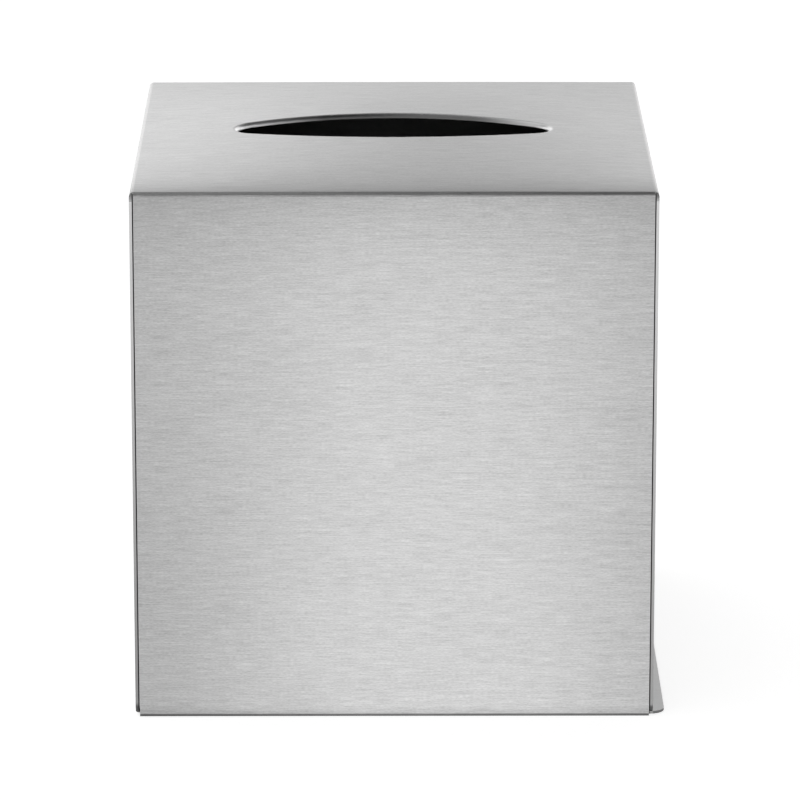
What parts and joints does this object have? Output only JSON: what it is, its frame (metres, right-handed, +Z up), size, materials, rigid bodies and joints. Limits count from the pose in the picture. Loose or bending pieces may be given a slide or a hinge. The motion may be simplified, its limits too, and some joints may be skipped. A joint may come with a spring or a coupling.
{
  "type": "tissue box cover",
  "caption": "Cube-shaped tissue box cover folded from one steel sheet, with an oval rolled-edge slot in its gently crowned top and a bottom flap with a finger lip.",
  "frame": {"origin": "centre of the box's square footprint, on the surface that it stands on", "axes": "+Z up, -Y towards the front panel, +X towards the right wall, under which the finger lip stands out"},
  "size_m": [0.133, 0.13, 0.1376],
  "materials": {
    "brushed_sheet": "fine horizontal brushing, satin, cut edges plain"
  },
  "bodies": {
    "root": {"cover_shell": "brushed_sheet"}
  },
  "joints": []
}
